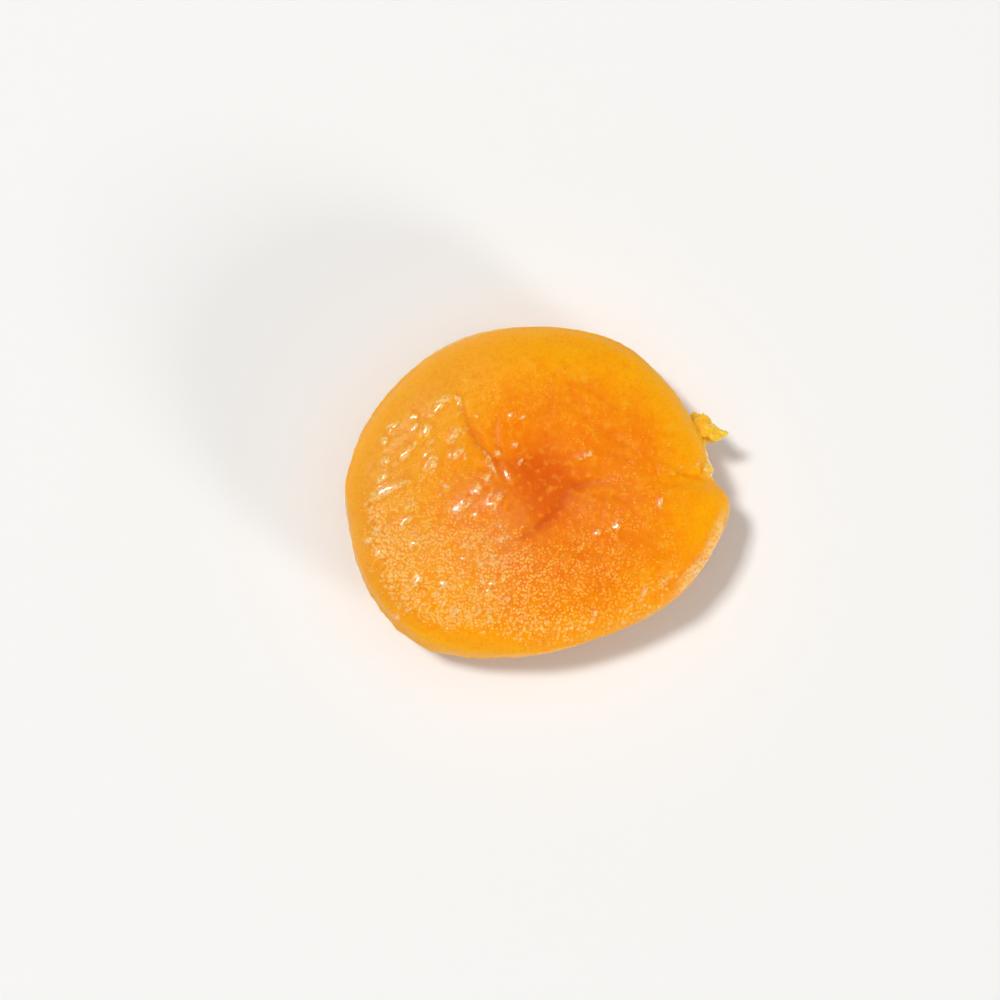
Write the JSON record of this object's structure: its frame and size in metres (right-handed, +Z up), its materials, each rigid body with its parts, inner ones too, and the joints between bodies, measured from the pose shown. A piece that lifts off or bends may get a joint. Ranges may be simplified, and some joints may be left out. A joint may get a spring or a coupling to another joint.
{
  "type": "dried apricot",
  "caption": "Whole dried apricot, pitted and pressed flat: a thick round-rimmed disc with a dished, creased upper face and a torn mouth at the stem end.",
  "frame": {"origin": "on the resting surface, under the middle of the fruit's length and width", "axes": "+X from the blossom end to the torn mouth at the stem end, +Z up out of the dished upper face, +Y across the cheeks"},
  "size_m": [0.042, 0.0362, 0.0113],
  "materials": {
    "dried_flesh": "satin"
  },
  "bodies": {
    "root": {"dried_apricot": "dried_flesh"}
  },
  "joints": []
}
